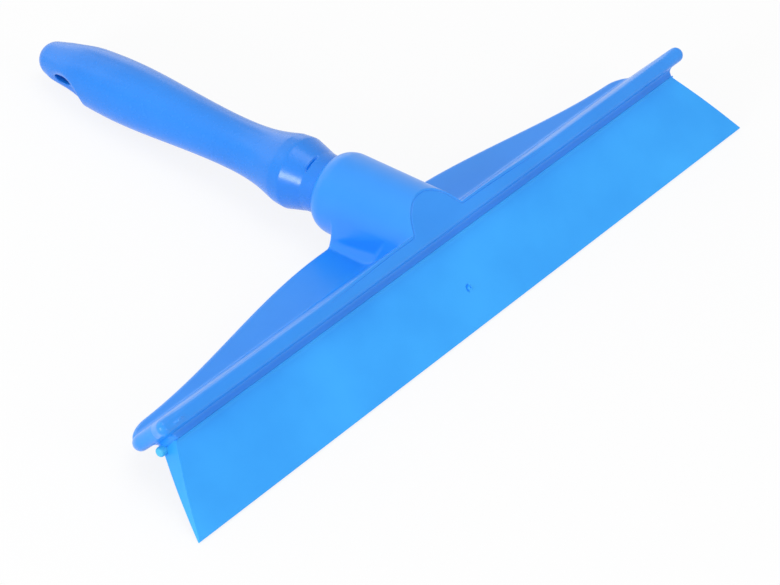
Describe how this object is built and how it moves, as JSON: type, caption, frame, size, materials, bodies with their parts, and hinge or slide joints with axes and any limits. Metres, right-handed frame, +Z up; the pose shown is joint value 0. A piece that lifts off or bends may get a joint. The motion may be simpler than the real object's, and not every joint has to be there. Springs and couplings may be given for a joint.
{
  "type": "window squeegee",
  "caption": "Hand squeegee with a wide soft wiping blade under a moulded bar and a waisted screw-in handle with a hang hole, for wiping water off windows and smooth surfaces.",
  "frame": {"origin": "middle of the footprint, on the table that the squeegee lies on", "axes": "+X along the blade, +Y from the blade towards the tail of the handle, +Z up from the table"},
  "size_m": [0.3, 0.2096, 0.0371],
  "materials": {
    "head_plastic": "satin moulded polypropylene",
    "blade_elastomer": "matt moulded thermoplastic elastomer",
    "handle_plastic": "satin moulded polypropylene"
  },
  "bodies": {
    "head": {"head": "head_plastic"},
    "blade": {"blade": "blade_elastomer"},
    "handle": {"handle": "handle_plastic"}
  },
  "joints": [
    {"name": "blade_flex", "type": "hinge", "parent": "head", "child": "blade", "pos_m": [0, -0.08113, 0.01438], "axis": [1, 0, 0], "range_deg": [-12, 12], "stiffness_Nm_per_rad": 3},
    {"name": "handle_unscrew", "type": "hinge", "parent": "head", "child": "handle", "pos_m": [0, -0.03282, 0.01928], "axis": [0, 0.9972, -0.0744], "range_deg": [0, 1890]}
  ]
}
